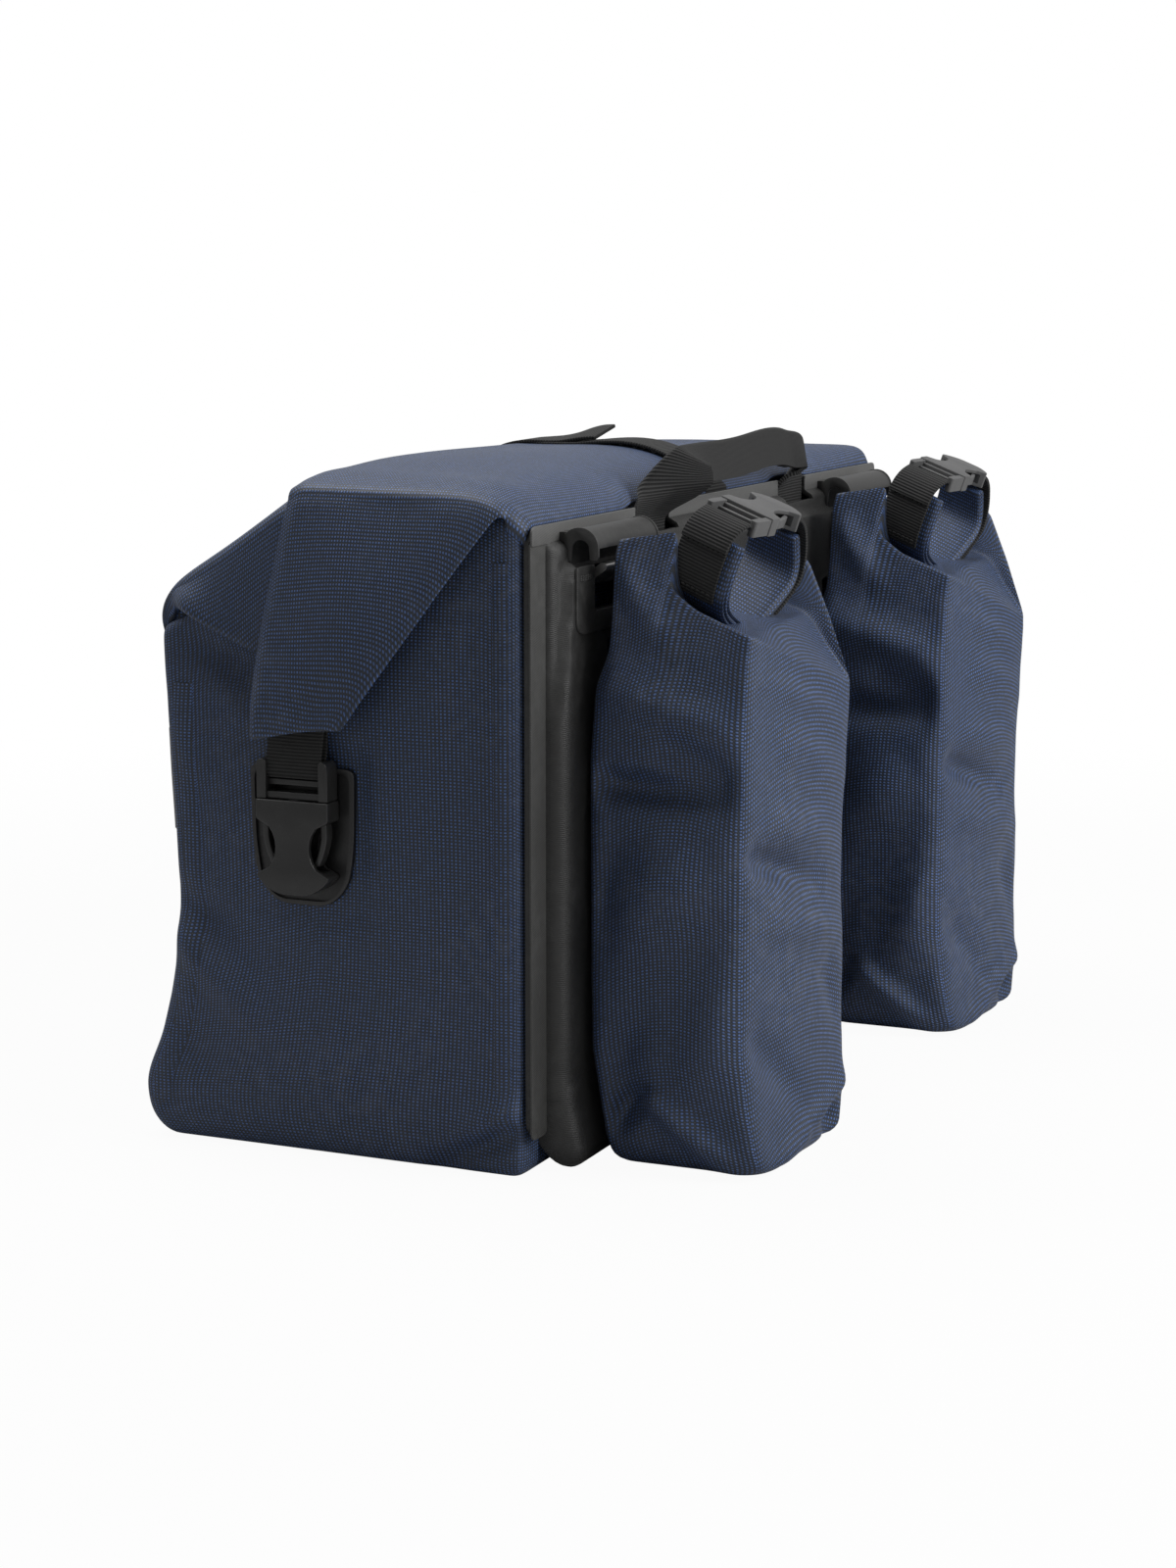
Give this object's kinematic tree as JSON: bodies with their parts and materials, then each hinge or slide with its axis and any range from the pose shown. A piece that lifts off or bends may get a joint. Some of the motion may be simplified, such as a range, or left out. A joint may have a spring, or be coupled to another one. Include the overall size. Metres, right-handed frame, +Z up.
{
  "type": "pannier bag",
  "caption": "Roll-top pannier bag with hooked back panel, lifting carry handle, end tabs with release buckles, and small roll-top bags hung on the rack side.",
  "frame": {"origin": "on the ground, under the middle of the whole object's plan box", "axes": "+X along the bag, +Y from the rack side to the outer face, +Z up"},
  "size_m": [0.5064, 0.3102, 0.3295],
  "materials": {
    "navy_fabric": "coated grid weave, navy with pale blue points",
    "black_webbing": "ribbed woven webbing",
    "grey_band": "satin",
    "panel_shell": "fine diagonal grain",
    "border_tape": "fine twill grain, welded",
    "hook_plastic": "moulded, fine grain",
    "inner_board": "plain sheet",
    "patch_rubber": "smooth, welded edge",
    "buckle_plastic": "satin moulded",
    "steel": "zinc plated"
  },
  "bodies": {
    "bag": {"bag_body": "navy_fabric", "roll_flap": "navy_fabric", "end_tab_near": "navy_fabric", "end_tab_far": "navy_fabric", "top_strap": "black_webbing", "strap_tail": "black_webbing", "outer_band": "grey_band", "back_panel": "panel_shell", "border_tape": "border_tape", "back_board": "inner_board", "base_board": "inner_board", "hook_housing_near": "hook_plastic", "hook_housing_far": "hook_plastic", "hook_screws": "steel", "hanger_screws": "steel", "latch_springs": "steel", "buckle_patch_near": "patch_rubber", "buckle_patch_far": "patch_rubber", "buckle_female_near": "buckle_plastic", "buckle_female_far": "buckle_plastic", "hanger_bar_near": "hook_plastic", "hanger_bar_far": "hook_plastic"},
    "handle": {"carry_handle": "black_webbing"},
    "latch": {"latch_bar": "steel"},
    "closure_buckle_near": {"buckle_male_near": "buckle_plastic", "closure_webbing_near": "black_webbing"},
    "side_bag_near": {"small_bag_near": "navy_fabric", "roll_band_near": "navy_fabric", "ring_female_near": "buckle_plastic", "arm_webbing_near": "black_webbing", "hanger_hook_near": "hook_plastic"},
    "side_buckle_near": {"ring_male_near": "buckle_plastic", "ring_webbing_near": "black_webbing"},
    "closure_buckle_far": {"buckle_male_far": "buckle_plastic", "closure_webbing_far": "black_webbing"},
    "side_bag_far": {"small_bag_far": "navy_fabric", "roll_band_far": "navy_fabric", "ring_female_far": "buckle_plastic", "arm_webbing_far": "black_webbing", "hanger_hook_far": "hook_plastic"},
    "side_buckle_far": {"ring_male_far": "buckle_plastic", "ring_webbing_far": "black_webbing"}
  },
  "joints": [
    {"name": "latch_turn", "type": "hinge", "parent": "bag", "child": "latch", "pos_m": [0, -0.052, 0.2725], "axis": [1, 0, 0], "range_deg": [0, 85], "stiffness_Nm_per_rad": 0.06, "springref_deg": -22.92},
    {"name": "handle_lift", "type": "slide", "parent": "bag", "child": "handle", "axis": [0, 0, 1], "range_m": [0, 0.007]},
    {"name": "closure_release_near", "type": "slide", "parent": "bag", "child": "closure_buckle_near", "axis": [0, 0, 1], "range_m": [0, 0.024]},
    {"name": "side_bag_lift_near", "type": "slide", "parent": "bag", "child": "side_bag_near", "axis": [0, 0, 1], "range_m": [0, 0.022]},
    {"name": "side_buckle_release_near", "type": "slide", "parent": "side_bag_near", "child": "side_buckle_near", "axis": [-0.9903, 0.1392, 0], "range_m": [0, 0.024]},
    {"name": "closure_release_far", "type": "slide", "parent": "bag", "child": "closure_buckle_far", "axis": [0, 0, 1], "range_m": [0, 0.024]},
    {"name": "side_bag_lift_far", "type": "slide", "parent": "bag", "child": "side_bag_far", "axis": [0, 0, 1], "range_m": [0, 0.022]},
    {"name": "side_buckle_release_far", "type": "slide", "parent": "side_bag_far", "child": "side_buckle_far", "axis": [-0.9903, 0.1392, 0], "range_m": [0, 0.024]}
  ],
  "couplings": [
    {"joint": "handle_lift", "follows": "latch_turn", "m_per_rad": 0.0047}
  ]
}
